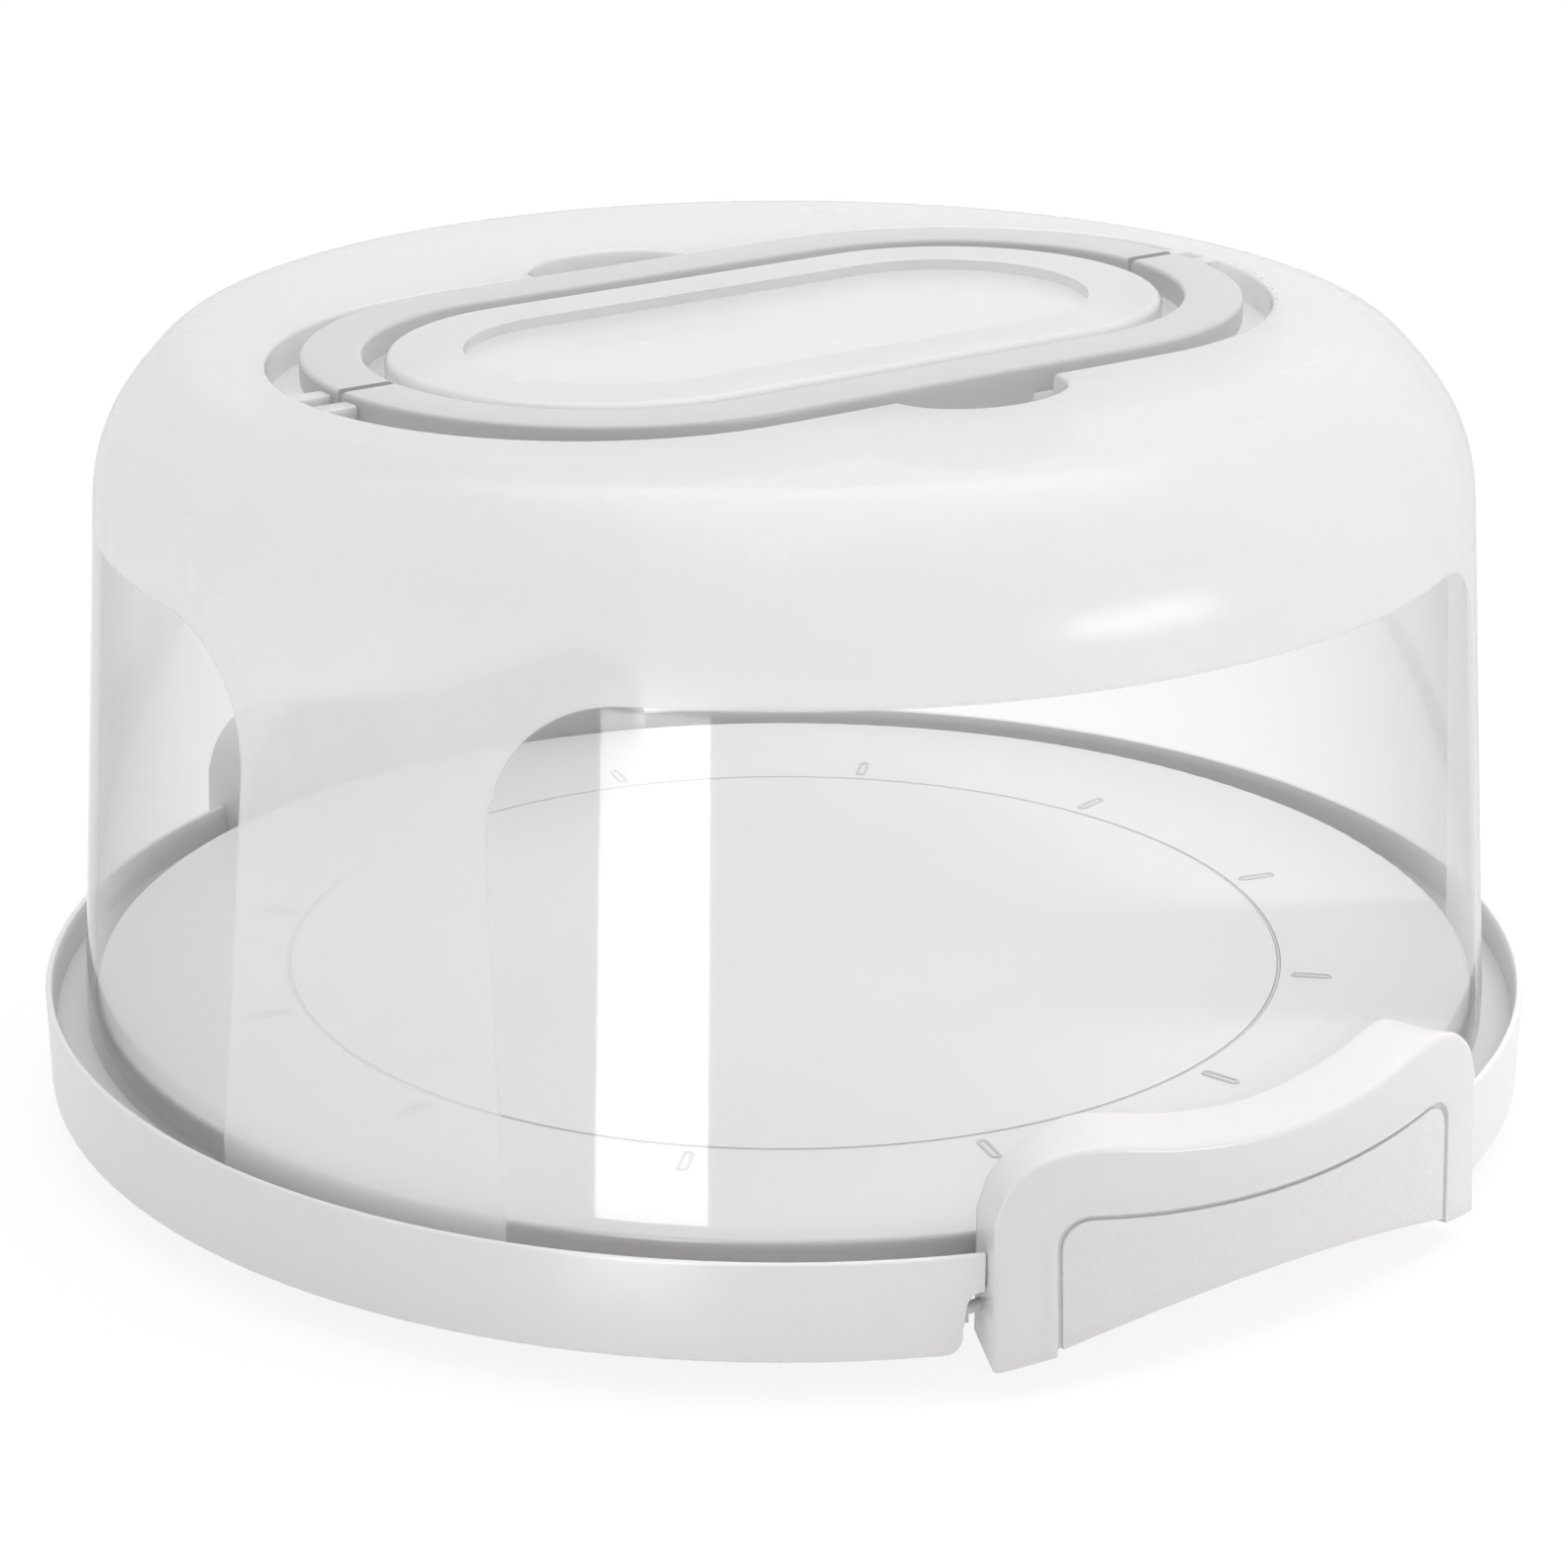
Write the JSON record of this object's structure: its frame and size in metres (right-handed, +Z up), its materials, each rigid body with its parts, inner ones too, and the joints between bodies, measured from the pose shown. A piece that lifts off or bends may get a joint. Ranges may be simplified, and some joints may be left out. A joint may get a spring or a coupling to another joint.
{
  "type": "cake carrier",
  "caption": "Round cake carrier: shallow tray, frosted lift-off cover, folding two-part carrying handle and a hinged snap latch on each side.",
  "frame": {"origin": "centre of the foot ring, on the table", "axes": "+Z up, +X along the handle's long axis, -Y towards the front latch"},
  "size_m": [0.3148, 0.3244, 0.1651],
  "materials": {
    "tray_white": "white moulded polypropylene, satin, fine moulded grain",
    "cover_frosted": "frosted translucent polypropylene with clear windows over the latches",
    "handle_grey": "light grey translucent moulded plastic, satin",
    "latch_white": "white moulded polypropylene, satin",
    "panel_white": "white moulded insert, satin",
    "pin_white": "natural acetal pin"
  },
  "bodies": {
    "tray": {"tray": "tray_white"},
    "cover": {"cover": "cover_frosted"},
    "handle_front": {"handle_front": "handle_grey", "handle_pins_front": "pin_white"},
    "handle_rear": {"handle_rear": "handle_grey", "handle_pins_rear": "pin_white"},
    "latch_front": {"latch_front": "latch_white", "latch_panel_front": "panel_white", "latch_pins_front": "pin_white"},
    "latch_rear": {"latch_rear": "latch_white", "latch_panel_rear": "panel_white", "latch_pins_rear": "pin_white"}
  },
  "joints": [
    {"name": "cover_lift", "type": "slide", "parent": "tray", "child": "cover", "axis": [0, 0, 1], "range_m": [0, 0.16]},
    {"name": "handle_front_hinge", "type": "hinge", "parent": "cover", "child": "handle_front", "pos_m": [0, -0.005, 0.1621], "axis": [-1, 0, 0], "range_deg": [0, 90]},
    {"name": "handle_rear_hinge", "type": "hinge", "parent": "cover", "child": "handle_rear", "pos_m": [0, 0.005, 0.1621], "axis": [1, 0, 0], "range_deg": [0, 90]},
    {"name": "latch_front_hinge", "type": "hinge", "parent": "tray", "child": "latch_front", "pos_m": [0, -0.14205, 0.0153], "axis": [1, 0, 0], "range_deg": [0, 40]},
    {"name": "latch_rear_hinge", "type": "hinge", "parent": "tray", "child": "latch_rear", "pos_m": [0, 0.14205, 0.0153], "axis": [-1, 0, 0], "range_deg": [0, 40]}
  ]
}
